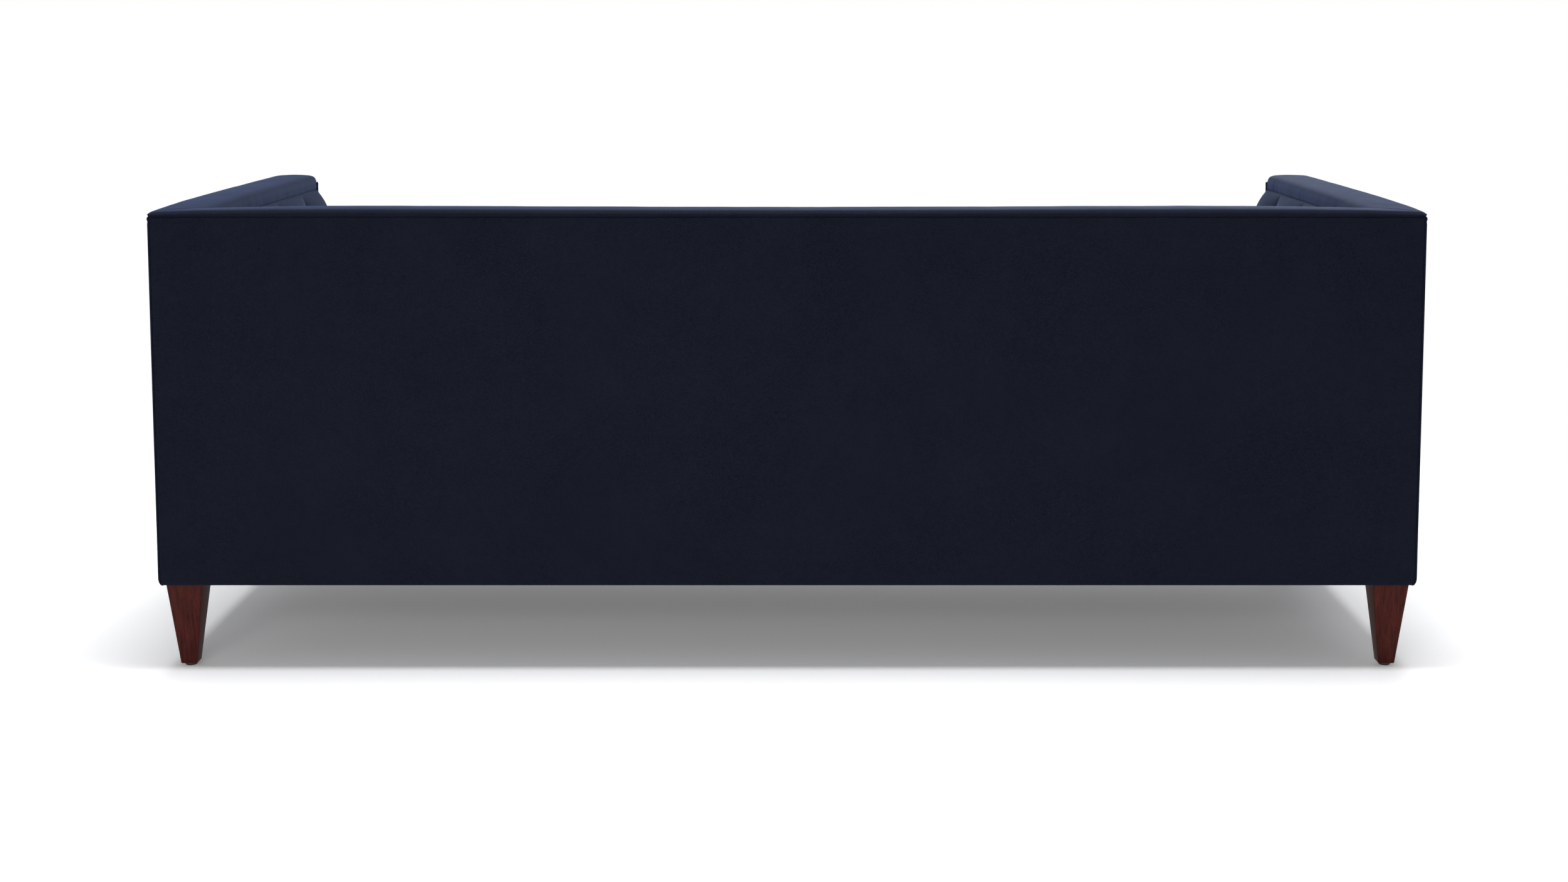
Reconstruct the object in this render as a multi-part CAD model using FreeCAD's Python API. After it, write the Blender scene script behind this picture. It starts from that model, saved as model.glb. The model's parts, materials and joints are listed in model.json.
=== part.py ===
import FreeCAD, Part
import math
import os

V = FreeCAD.Vector
os.makedirs("parts", exist_ok=True)

# Three-seat sofa with arms as high as the back, in mm: +X the sitter's left, -Y the front, floor at z = 0.
# The main difficult feature is the padded cap: one rounded section, sewn to the outer covers above and
# to the deep-buttoned pads below, that runs round arms and back and is mitred at the rear corners.

# Overall sizes
WIDTH = 2134.0
DEPTH = 864.0
HEIGHT = 787.0

# Legs, from the floor up
GLIDE_H = 5.0
GLIDE_D = 20.0
LEG_LENGTH = 142.0
LEG_TOP = 61.0
LEG_FOOT = 27.5
LEG_INSET = 12.0
LEG_EDGE = 1.5
BOLT_D = 8.0
BOLT_IN_LEG = 36.0

# Covers
COVER_INSET = 1.0      # outside covers lie this far inside the cap's face
COVER_T = 8.0          # velvet over board and padding
COVER_EDGE = 7.0       # rounding along the bottom
SEAM_EDGE = 2.0        # rounding at the vertical seams
CAP_W = 88.0
CAP_OUTER_H = 15.5     # from the crown down to the outer seam
CAP_INNER_H = 28.0     # from the crown down to the inner seam
CAP_LIP = 6.0
CAP_PLAN_R = 10.0
DUST_T = 1.2

# Timber
RAIL_T = 22.0
RAIL_H = 100.0
TOP_RAIL_H = 36.5
POST_T = 32.0
MID_POST_X = 330.0
TACK_H = 40.0
TACK_Z = 290.0
STRETCHER_W = 30.0
STRETCHER_H = 60.0
BLOCK = 84.0
BLOCK_H = 40.0
DOWEL_D = 8.0
DOWEL_L = 48.0

# Upholstery
BACK_SLOPE = 7.7       # degrees
WEB_T = 1.5
POCKET_R = 42.0        # of a button's pocket at the face of the pad
WEB_W = 50.0
ARM_PAD_T = 42.5
BACK_PAD_T = 44.0
FOLD_T = 13.0          # pad thickness left under a button
PAD_SEAM_T = 7.0
TUFT_PITCH = 200.0
FIRST_FOLD = 710.0     # from the back face of the sofa forward to an arm's first button
ROW_1_DROP = 115.0     # button rows, below the crown of the cap
ROW_2_DROP = 235.0
BUTTON_R = 12.0
ARM_PAD_FOOT_Z = 262.0
BACK_PAD_FOOT_Z = 281.0

# Seat
SPRING_COUNT = 9
TIE_SPREAD = 140.0     # of the two tie wires from the middle
SPRING_TURNS = 18
SPRING_HALF = 22.0
WIRE = 3.6
SPRING_RISE = 26.0
CLIP_T = 1.5
CLIP_W = 20.0
FELT_T = 5.0
DECK_Z = 311.0
CUSHION_T = 150.0
CUSHION_CROWN = 13.0   # of the top and of the bottom face
CUSHION_BULGE = 6.0    # of the sides beyond the seams
CUSHION_R = 34.0       # plan corners
CUSHION_SKIN = 3.0

# Clearances
SEAT_GAP = 0.3         # pieces that rest on each other
BORE_GAP = 0.2         # round a pin or bolt, on the radius
CUSHION_GAP = 0.5      # beside a cushion, which lifts off

# Places that follow from the sizes above
BODY_Z = GLIDE_H + LEG_LENGTH
FRAME_Z = BODY_Z + DUST_T
RAIL_TOP = FRAME_Z + RAIL_H
SEAM_Z = HEIGHT - CAP_OUTER_H
LIP_Z = HEIGHT - CAP_INNER_H
UNDER_TOP = SEAM_Z - TOP_RAIL_H
ROW_1_Z = HEIGHT - ROW_1_DROP
ROW_2_Z = HEIGHT - ROW_2_DROP
FACE_X = WIDTH / 2 - COVER_INSET
FACE_Y = DEPTH / 2 - COVER_INSET
FRAME_X = FACE_X - COVER_T
FRAME_Y = FACE_Y - COVER_T
ARM_IN = WIDTH / 2 - CAP_W + CAP_LIP
BACK_IN = DEPTH / 2 - CAP_W + CAP_LIP
PAD_X = ARM_IN - WEB_T - ARM_PAD_T
TAN = math.tan(math.radians(BACK_SLOPE))
COS = math.cos(math.radians(BACK_SLOPE))


def back_y(z):
    """The sloped front plane of the back posts."""
    return BACK_IN - CAP_LIP + 2 * WEB_T / COS - (LIP_Z - z) * TAN


def at(plane, a, b, c):
    return {"xy": V(a, b, c), "xz": V(a, c, b), "yz": V(c, a, b)}[plane]


def face(plane, c, start, *steps):
    """A closed face. A step is (a, b) for a line or (via a, via b, a, b) for an arc."""
    edges, here = [], start
    for step in steps + (start,):
        p, q = at(plane, here[0], here[1], c), at(plane, step[-2], step[-1], c)
        if (p - q).Length > 1e-6:
            if len(step) == 4:
                edges.append(Part.Arc(p, at(plane, step[0], step[1], c), q).toShape())
            else:
                edges.append(Part.makeLine(p, q))
        here = step[-2:]
    return Part.Face(Part.Wire(edges))


def prism(plane, c0, c1, start, *steps):
    return face(plane, c0, start, *steps).extrude(at(plane, 0, 0, c1 - c0))


def box(x0, x1, y0, y1, z0, z1):
    return Part.makeBox(x1 - x0, y1 - y0, z1 - z0, V(x0, y0, z0))


def rounded(plane, c0, c1, a0, a1, b0, b1, r00=0, r10=0, r11=0, r01=0):
    """A rectangle with its own radius at each corner, extruded."""
    k = 1 - math.sqrt(0.5)
    steps = []
    for a, b, da, db, r in ((a1, b0, -1, 1, r10), (a1, b1, -1, -1, r11), (a0, b1, 1, -1, r01),
                            (a0, b0, 1, 1, r00)):
        if not r:
            steps.append((a, b))
            continue
        first, last = (a + da * r, b), (a, b + db * r)
        if (da < 0) == (db < 0):
            first, last = last, first
        steps += [first, (a + da * r * k, b + db * r * k) + last]
    start = steps[-1][-2:]
    return prism(plane, c0, c1, start, *steps)


def rod(x, y, z, radius, length, axis=V(0, 0, 1)):
    return Part.makeCylinder(radius, length, V(x, y, z), axis)


def mirrored(shape):
    return shape.mirror(V(0, 0, 0), V(1, 0, 0))


parts = {}


def both(name, shape):
    """A node on the sitter's left and its mirror image on the right."""
    parts[name + "_left"] = shape
    parts[name + "_right"] = mirrored(shape)


# Base frame
base_x = FRAME_X - RAIL_T
base_y = FRAME_Y - RAIL_T
parts["front_rail"] = box(-base_x, base_x, -FRAME_Y, -base_y, FRAME_Z, RAIL_TOP)
parts["rear_rail"] = box(-base_x, base_x, base_y, FRAME_Y, FRAME_Z, RAIL_TOP)
both("side_rail", box(base_x, FRAME_X, -FRAME_Y, FRAME_Y, FRAME_Z, RAIL_TOP))
parts["seat_stretchers"] = Part.makeCompound([
    box(x - STRETCHER_W / 2, x + STRETCHER_W / 2, -base_y, base_y, FRAME_Z, FRAME_Z + STRETCHER_H)
    for x in (-MID_POST_X, MID_POST_X)])

# Arm frames
both("front_post", box(ARM_IN, FRAME_X, -FRAME_Y, -FRAME_Y + POST_T, RAIL_TOP, UNDER_TOP))
both("rear_post", prism("yz", ARM_IN, FRAME_X, (FRAME_Y, RAIL_TOP), (back_y(RAIL_TOP), RAIL_TOP),
                        (back_y(UNDER_TOP), UNDER_TOP), (FRAME_Y, UNDER_TOP)))
both("arm_top_rail", box(ARM_IN, FRAME_X, -FRAME_Y, FRAME_Y, UNDER_TOP, SEAM_Z))
tack_top = TACK_Z + TACK_H
both("arm_tack_rail", prism("yz", ARM_IN, ARM_IN + RAIL_T, (-FRAME_Y + POST_T, TACK_Z),
                            (back_y(TACK_Z), TACK_Z), (back_y(tack_top), tack_top),
                            (-FRAME_Y + POST_T, tack_top)))

# Back frame. The rails stand one webbing thickness proud of the posts.
step = WEB_T / COS
behind = RAIL_T + SEAT_GAP
parts["back_top_rail"] = prism(
    "yz", -ARM_IN, ARM_IN, (FRAME_Y, UNDER_TOP), (back_y(UNDER_TOP) - step, UNDER_TOP),
    (back_y(LIP_Z - SEAT_GAP) - step, LIP_Z - SEAT_GAP), (BACK_IN, LIP_Z - SEAT_GAP),
    (BACK_IN, SEAM_Z), (FRAME_Y, SEAM_Z))
parts["back_tack_rail"] = prism(
    "yz", -ARM_IN, ARM_IN, (back_y(TACK_Z) - step, TACK_Z), (back_y(TACK_Z) + RAIL_T, TACK_Z),
    (back_y(tack_top) + RAIL_T, tack_top), (back_y(tack_top) - step, tack_top))
notch = tack_top + SEAT_GAP
parts["back_mid_posts"] = Part.makeCompound([
    prism("yz", x - POST_T / 2, x + POST_T / 2, (FRAME_Y, RAIL_TOP), (base_y, RAIL_TOP),
          (base_y, RAIL_TOP + 18), (back_y(TACK_Z) + behind, TACK_Z - 3), (back_y(notch) + behind, notch),
          (back_y(notch), notch), (back_y(UNDER_TOP), UNDER_TOP), (FRAME_Y, UNDER_TOP))
    for x in (-MID_POST_X, MID_POST_X)])

# Corner blocks that take the legs
leg_x = WIDTH / 2 - LEG_INSET - LEG_TOP / 2
leg_y = DEPTH / 2 - LEG_INSET - LEG_TOP / 2
corners = [(sx, sy) for sx in (1, -1) for sy in (-1, 1)]
block = prism("xy", FRAME_Z, FRAME_Z + BLOCK_H, (base_x, base_y), (base_x - BLOCK, base_y),
              (base_x - BLOCK, base_y - BLOCK / 2), (base_x - BLOCK / 2, base_y - BLOCK),
              (base_x, base_y - BLOCK))


def polyhedron(rings, halved=False):
    """A solid with flat faces through rings of points, closed at both ends. Halved makes each side two."""
    faces = [Part.Face(Part.makePolygon(ring + ring[:1])) for ring in (rings[0], rings[-1])]
    for low_ring, high_ring in zip(rings, rings[1:]):
        for i in range(len(low_ring)):
            j = (i + 1) % len(low_ring)
            loop = [low_ring[i], low_ring[j], high_ring[j], high_ring[i]]
            for piece in ([loop[:3], [loop[0]] + loop[2:]] if halved else [loop]):
                faces.append(Part.Face(Part.makePolygon(piece + piece[:1])))
    return Part.Solid(Part.Shell(faces))


def at_corners(shape):
    """One copy of a shape made for the +X +Y corner at each corner."""
    copies = []
    for sx, sy in corners:
        copy = shape.copy() if sx > 0 else mirrored(shape)
        copies.append(copy if sy > 0 else copy.mirror(V(0, 0, 0), V(0, 1, 0)))
    return copies


# Legs, their bolts, nuts and glides
half, foot = LEG_TOP / 2, LEG_FOOT / 2


def square(h, z):
    """A leg's outline at one height, its corners eased."""
    e = h - LEG_EDGE
    return [V(leg_x + a, leg_y + b, z) for a, b in ((-e, -h), (e, -h), (h, -e), (h, e), (e, h), (-e, h),
                                                    (-h, e), (-h, -e))]


leg = polyhedron([square(foot, GLIDE_H), square(half, BODY_Z)])
leg = leg.cut(rod(leg_x, leg_y, BODY_Z - BOLT_IN_LEG - 1, BOLT_D / 2 + BORE_GAP, BOLT_IN_LEG + 2))
pin_r, pin_l = 2.0, 16.0


def ngon(count, r, z):
    turns = [math.pi * (2 * i + 1) / count for i in range(count)]
    return [V(leg_x + r * math.cos(t), leg_y + r * math.sin(t), z) for t in turns]


def bar(count, r, z0, z1):
    """An upright bar with flat sides on a leg's axis."""
    return polyhedron([ngon(count, r, z0), ngon(count, r, z1)])


leg = leg.cut(bar(6, pin_r, GLIDE_H - 1, GLIDE_H + pin_l))
for (sx, sy), one in zip(corners, at_corners(leg)):
    parts["leg_" + ("rear" if sy > 0 else "front") + ("_left" if sx > 0 else "_right")] = one

glide = bar(24, GLIDE_D / 2, 0, GLIDE_H).fuse(bar(6, pin_r, GLIDE_H, GLIDE_H + pin_l))
parts["leg_glides"] = Part.makeCompound(at_corners(glide.removeSplitter()))
bolt_top = FRAME_Z + BLOCK_H - 3
parts["hanger_bolts"] = Part.makeCompound(at_corners(bar(8, BOLT_D / 2, BODY_Z - BOLT_IN_LEG, bolt_top)))
# the nut's barrel is pressed into the block from above, and its flange lies on the block
nut_top = FRAME_Z + BLOCK_H
barrel_r = BOLT_D / 2 + 1.4
nut = bar(6, barrel_r, nut_top - 14, nut_top + 0.1).fuse(bar(8, 11, nut_top, nut_top + 1.6)).removeSplitter()
nut = nut.cut(bar(8, BOLT_D / 2 + BORE_GAP, nut_top - 15, nut_top + 5))
parts["t_nuts"] = Part.makeCompound(at_corners(nut))
block = block.cut(bar(6, barrel_r, FRAME_Z - 1, nut_top + 1))
parts["corner_blocks"] = Part.makeCompound(at_corners(block))

# Dust cover
dust = box(-FRAME_X, FRAME_X, -FRAME_Y, FRAME_Y, BODY_Z, FRAME_Z)
for hole in at_corners(bar(6, BOLT_D / 2 + 1.4, BODY_Z - 1, FRAME_Z + 1)):
    dust = dust.cut(hole)
parts["dust_cover"] = dust

# Dowels: each one is bored into the two pieces that it joins
dowels = []


def dowel(x, y, z, axis, nodes):
    """An eight-sided dowel centred on a joint face, and its bore."""
    start = V(x, y, z) - axis * (DOWEL_L / 2)
    a = V(axis.z, axis.x, 0)
    b = axis.cross(a)
    turns = [math.pi * (2 * i + 1) / 8 for i in range(8)]
    ring = [start + a * (math.cos(t) * DOWEL_D / 2) + b * (math.sin(t) * DOWEL_D / 2) for t in turns]
    dowels.append(polyhedron([ring, [p + axis * DOWEL_L for p in ring]]))
    wide = 1 + BORE_GAP / (DOWEL_D / 2)
    wider = [start + (p - start) * wide - axis for p in ring]
    bore = polyhedron([wider, [p + axis * (DOWEL_L + 2) for p in wider]])
    for node in nodes:
        parts[node] = parts[node].cut(bore)


up, across = V(0, 0, 1), V(1, 0, 0)
post_x = (ARM_IN + FRAME_X) / 2
post_y = -FRAME_Y + POST_T / 2
for sx, side in ((1, "_left"), (-1, "_right")):
    for y, post in ((post_y, "front_post"), (FRAME_Y - 34, "rear_post")):
        dowel(sx * post_x, y, UNDER_TOP, up, (post + side, "arm_top_rail" + side))
    dowel(sx * ARM_IN, FRAME_Y - 34, UNDER_TOP + TOP_RAIL_H / 2, across,
          ("back_top_rail", "arm_top_rail" + side))
    dowel(sx * MID_POST_X, FRAME_Y - 34, UNDER_TOP, up, ("back_mid_posts", "back_top_rail"))
parts["frame_dowels"] = Part.makeCompound(dowels)

# Cap: one section runs along the arms and the back and is mitred at the rear corners


def cap_section(plane, c0, c1, outer, inward):
    """The band's section. outer is the outer face, inward the direction to the seat."""
    def p(s, drop):
        return (outer + inward * s, HEIGHT - drop)
    w, inner = CAP_W, CAP_W - CAP_LIP
    return prism(plane, c0, c1, p(0, CAP_OUTER_H), p(0, 9.5), p(2.8, 3.6) + p(9.5, 1.6),
                 p(w / 2, 0) + p(w - 12, 1.9), p(w - 3, 5.6) + p(w, 14), p(w, CAP_INNER_H - 2),
                 p(w - 1.5, CAP_INNER_H), p(inner, CAP_INNER_H), p(inner, CAP_OUTER_H))


hx, hy = WIDTH / 2, DEPTH / 2
plan = rounded("xy", 0, HEIGHT + 10, -hx, hx, -hy, hy, CAP_PLAN_R, CAP_PLAN_R, CAP_PLAN_R, CAP_PLAN_R)
reach = 3 * CAP_W
behind_mitre = prism("xy", 0, HEIGHT + 10, (hx, hy), (hx - reach, hy - reach), (-hx + reach, hy - reach),
                     (-hx, hy))
parts["back_cap"] = cap_section("yz", -hx, hx, hy, -1).common(plan).common(behind_mitre)
beside_mitre = prism("xy", 0, HEIGHT + 10, (hx, hy), (hx, -hy), (hx - reach, -hy), (hx - reach, hy - reach))
nose = rounded("yz", 0, hx, -hy, hy, 0, HEIGHT, r01=9)
both("arm_cap", cap_section("xz", -hy, hy, hx, -1).common(plan).common(beside_mitre).common(nose))

# Outside covers
back_panel = rounded("yz", -FRAME_X, FRAME_X, FRAME_Y, FACE_Y, BODY_Z, SEAM_Z, r10=COVER_EDGE, r11=SEAM_EDGE)
parts["outside_back_panel"] = back_panel.common(rounded(
    "xy", BODY_Z, SEAM_Z, -FRAME_X, FRAME_X, FRAME_Y, FACE_Y, r11=SEAM_EDGE, r01=SEAM_EDGE))
arm_panel = rounded("xz", -FRAME_Y, FACE_Y, FRAME_X, FACE_X, BODY_Z, SEAM_Z, r10=COVER_EDGE, r11=SEAM_EDGE)
around = rounded("xy", BODY_Z, SEAM_Z, FRAME_X, FACE_X, -FRAME_Y, FACE_Y, r11=6.0, r01=SEAM_EDGE)
under = rounded("yz", FRAME_X, FACE_X, -FRAME_Y, FACE_Y, BODY_Z, SEAM_Z, r10=COVER_EDGE)
both("outside_arm_panel", arm_panel.common(around).common(under))
face_in = PAD_X + 35
lip_x = ARM_IN + SEAT_GAP
facing = prism("xz", -FACE_Y, -FRAME_Y, (face_in, BODY_Z), (FACE_X, BODY_Z), (FACE_X, SEAM_Z), (lip_x, SEAM_Z),
               (lip_x, LIP_Z - SEAT_GAP), (face_in, LIP_Z - SEAT_GAP))
facing = facing.common(rounded("xy", BODY_Z, SEAM_Z, face_in, FACE_X, -FACE_Y, -FRAME_Y, r00=5, r10=6))
facing = facing.common(rounded("yz", face_in, FACE_X, -FACE_Y, -FRAME_Y, BODY_Z, SEAM_Z, r00=COVER_EDGE))
both("arm_front_facing", facing)
border = rounded("yz", -face_in, face_in, -FACE_Y, -FRAME_Y, BODY_Z, DECK_Z, r00=COVER_EDGE, r01=COVER_EDGE)
parts["front_border"] = border.common(rounded(
    "xy", BODY_Z, DECK_Z, -face_in, face_in, -FACE_Y, -FRAME_Y, r00=SEAM_EDGE, r10=SEAM_EDGE))

# Webbing
back_columns = [TUFT_PITCH * (i - 4) for i in range(9)]


def on_slope(z0, z1, x0, x1, lift, thick):
    """A band that lies along the back's slope."""
    a, b = lift / COS, (lift + thick) / COS
    return prism("yz", x0, x1, (back_y(z0) - a, z0), (back_y(z1) - a, z1), (back_y(z1) - b, z1),
                 (back_y(z0) - b, z0))


web_top = LIP_Z - 2.0
parts["back_webbing_vertical"] = Part.makeCompound([
    on_slope(TACK_Z + 4, web_top, x - WEB_W / 2, x + WEB_W / 2, WEB_T, WEB_T) for x in back_columns])
parts["back_webbing_horizontal"] = Part.makeCompound([
    on_slope(z - WEB_W / 2, z + WEB_W / 2, -ARM_IN - 15, ARM_IN + 15, 0, WEB_T)
    for z in ((ROW_2_Z + tack_top) / 2, ROW_2_Z, ROW_1_Z)])
arm_fold_y = DEPTH / 2 - FIRST_FOLD
both("arm_webbing", Part.makeCompound([
    box(ARM_IN - WEB_T, ARM_IN, y - WEB_W / 2, y + WEB_W / 2, TACK_Z + 4, web_top)
    for y in [arm_fold_y - TUFT_PITCH / 2 + i * TUFT_PITCH / 2 for i in range(6)]]))

# Buttoned pads, made flat: x along the pad, y its thickness, z upwards from the seam


eighths = [2 * math.pi * i / 8 for i in range(8)]


def buttoned_pad(u0, u1, foot, thick, rows):
    """A pad that swells from the seam, with a tapered pocket for each button."""
    pad = prism("yz", u0, u1, (0, foot), (0, 0), (PAD_SEAM_T, 0), (PAD_SEAM_T + 22.0, -31.5, thick, -84.0),
                (thick, foot + 32), (thick - 7, foot + 9, thick - 24, foot))
    deep, wide = FOLD_T + 1.6, POCKET_R
    for v, columns in rows:
        for u in columns:
            rings = [[V(u + r * math.cos(t), y, v + r * math.sin(t)) for t in eighths]
                     for r, y in ((BUTTON_R / 6, deep), (wide, thick), (wide, thick + 6))]
            if u0 + wide < u < u1 - wide:
                pad = pad.cut(polyhedron(rings))
    return pad


def button():
    """Covered button whose tapered back sits in its pocket. Flat sides keep it light."""
    rings = []
    for r, y in ((BUTTON_R / 6, 2.0), (BUTTON_R, 10.2), (BUTTON_R * 0.62, 13.4)):
        rings.append([V(r * math.cos(t), y, r * math.sin(t)) for t in eighths])
    return polyhedron(rings)


pad_top = LIP_Z - SEAT_GAP
# Arms: the button columns stand where the photo shows the pleats
pad_back = ARM_IN - WEB_T
arm_place = {side: FreeCAD.Placement(V(side * pad_back, 0, pad_top), FreeCAD.Rotation(V(0, 0, 1), side * 90))
             for side in (1, -1)}


def placed(shape, where):
    copy = shape.copy()
    copy.transformShape(where.toMatrix())
    return copy


clear = (2 * WEB_T + SEAT_GAP) / COS
arm_rows = [(ROW_1_Z - pad_top, [arm_fold_y + i * TUFT_PITCH for i in range(3)]),
            (ROW_2_Z - pad_top, [arm_fold_y + (i - 0.5) * TUFT_PITCH for i in range(4)])]


def arm_pad(side):
    """The pad of one arm. A flat pad runs to the back on the left and to the front on the right."""
    u0, u1 = sorted((-side * FRAME_Y, side * (BACK_IN + 10)))
    rows = [(v, [side * y for y in ys]) for v, ys in arm_rows]
    flat = buttoned_pad(u0, u1, ARM_PAD_FOOT_Z - pad_top, ARM_PAD_T, rows)
    end = -side * FRAME_Y
    front_edge = prism("xy", ARM_PAD_FOOT_Z - pad_top - 1, 1, (end, 0), (-end, 0), (-end, ARM_PAD_T + 4),
                       (end + side * 40, ARM_PAD_T + 4), (end + side * 11, ARM_PAD_T - 9, end, PAD_SEAM_T))
    x0, x1 = sorted((side * (PAD_X - 50), side * ARM_IN))
    before_back = prism("yz", x0, x1, (-hy, 0), (back_y(0) - clear, 0), (back_y(HEIGHT) - clear, HEIGHT),
                        (-hy, HEIGHT))
    return placed(flat.common(front_edge), arm_place[side]).common(before_back)


parts["inside_arm_pad_left"] = arm_pad(1)
parts["inside_arm_pad_right"] = arm_pad(-1)

# Back, on the slope, shaped to the arm pads in the corners
seam_rise = PAD_SEAM_T * math.sin(math.radians(BACK_SLOPE))
back_z = pad_top - seam_rise
back_at = V(0, back_y(back_z) - 2 * WEB_T / COS, back_z)
turn = FreeCAD.Rotation(V(1, 0, 0), -BACK_SLOPE).multiply(FreeCAD.Rotation(V(0, 0, 1), 180))
back_place = FreeCAD.Placement(back_at, turn)
reach_x = pad_back - FOLD_T
back_rows = [((ROW_1_Z - back_z) / COS, back_columns),
             ((ROW_2_Z - back_z) / COS, [TUFT_PITCH * (i - 4.5) for i in range(10)])]
flat = buttoned_pad(-reach_x, reach_x, (BACK_PAD_FOOT_Z - back_z) / COS, BACK_PAD_T, back_rows)
back_pad = placed(flat, back_place)
for side in ("_left", "_right"):
    back_pad = back_pad.cut(parts["inside_arm_pad" + side])
back_pad = max(back_pad.Solids, key=lambda s: s.Volume)
parts["inside_back_pad"] = back_pad

# Buttons
knob = button()


def buttons(rows, where):
    out = []
    for v, columns in rows:
        for u in columns:
            copy = knob.copy()
            copy.translate(V(u, FOLD_T, v))
            out.append(placed(copy, where))
    return out


both("arm_buttons", Part.makeCompound(buttons(arm_rows, arm_place[1])))
parts["back_buttons"] = Part.makeCompound(buttons(back_rows, back_place))

# Seat springs: zigzag wire, arched between clips on the front and rear rails
wire_z = RAIL_TOP + CLIP_T + 0.2 + WIRE / 2
end_y = base_y + RAIL_T / 2
arc_r = (end_y ** 2 + SPRING_RISE ** 2) / (2 * SPRING_RISE)


def spring_z(y):
    return wire_z + SPRING_RISE - arc_r + math.sqrt(arc_r ** 2 - y ** 2)


def spring(x):
    pitch = 2 * end_y / (SPRING_TURNS - 1)
    path = []
    for i in range(SPRING_TURNS):
        y, a = -end_y + i * pitch, SPRING_HALF if i % 2 else -SPRING_HALF
        path += [(-a, y), (a, y)]
    points = [V(x + px, py, spring_z(py)) for px, py in path]
    rings = []
    for i, p in enumerate(points):
        before = (p - points[i - 1]).normalize() if i else (points[1] - p).normalize()
        after = (points[i + 1] - p).normalize() if i + 1 < len(points) else before
        along = (before + after).normalize()
        side = along.cross(V(0, 0, 1)).normalize()
        top = side.cross(along).normalize()
        wide = WIRE / 2 / along.dot(before)
        rings.append([p + side * (a * wide) + top * (b * WIRE / 2) for a, b in ((1, 1), (-1, 1), (-1, -1), (1, -1))])
    return polyhedron(rings, True)


spring_step = 2 * PAD_X / SPRING_COUNT
spring_xs = [spring_step * (i - (SPRING_COUNT - 1) / 2) for i in range(SPRING_COUNT)]
parts["seat_springs"] = Part.makeCompound([spring(x) for x in spring_xs])
w, g = WIRE / 2 + 0.3, CLIP_T
clips = []
for x in spring_xs:
    clip = prism("yz", x - CLIP_W / 2, x + CLIP_W / 2, (-end_y - 9, RAIL_TOP), (-end_y + w + g, RAIL_TOP),
                 (-end_y + w + g, wire_z + w + g), (-end_y - 3.5, wire_z + w + g), (-end_y - 3.5, wire_z + w),
                 (-end_y + w, wire_z + w), (-end_y + w, RAIL_TOP + g), (-end_y - 9, RAIL_TOP + g))
    clips += [clip, clip.mirror(V(0, 0, 0), V(0, 1, 0))]
parts["spring_clips"] = Part.makeCompound(clips)
tie_x = spring_xs[-1] + 60
tie_r = 1.75
ties = []
for y in (-TIE_SPREAD, TIE_SPREAD):
    z = spring_z(y) - WIRE / 2 - SEAT_GAP - tie_r
    ring = [V(-tie_x, y + tie_r * math.cos(t), z + tie_r * math.sin(t))
            for t in (math.pi * (2 * i + 1) / 6 for i in range(6))]
    ties.append(polyhedron([ring, [p + V(2 * tie_x, 0, 0) for p in ring]]))
parts["spring_tie_wires"] = Part.makeCompound(ties)

# Felt and deck pad over the springs
felt_y = base_y - 16
seat_x = PAD_X - CUSHION_GAP


def arch(y, up_by):
    return (y, spring_z(y) + WIRE / 2 + SEAT_GAP + up_by)


parts["insulator_felt"] = prism(
    "yz", -seat_x + 10, seat_x - 10, arch(-felt_y, 0), arch(0, 0) + arch(felt_y, 0), arch(felt_y, FELT_T),
    arch(0, FELT_T) + arch(-felt_y, FELT_T))
slope_front = back_y(DECK_Z) - (2 * WEB_T + BACK_PAD_T) / COS - SEAT_GAP
deck_rear = back_y(BACK_PAD_FOOT_Z) - (2 * WEB_T + BACK_PAD_T) / COS - SEAT_GAP
low = arch(-felt_y, FELT_T)[1]
mid_y = (deck_rear - felt_y) / 2
parts["deck_pad"] = prism(
    "yz", -seat_x, seat_x, (-FRAME_Y, low), (-felt_y, low), arch(mid_y, FELT_T) + arch(deck_rear, FELT_T),
    (deck_rear, BACK_PAD_FOOT_Z), (deck_rear, DECK_Z), (-FRAME_Y, DECK_Z))

# Loose cushions: crowned top and bottom, sides drawn in at the seams, a foam core inside
cushion_z = DECK_Z + SEAT_GAP
front_y = -FACE_Y + 2
pad_low = cushion_z + CUSHION_T
rear_y = back_y(cushion_z + CUSHION_CROWN) - (2 * WEB_T + BACK_PAD_T) / COS - CUSHION_GAP
pitch = 2 * seat_x / 3
half_w = pitch / 2 - CUSHION_GAP / 2


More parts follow.
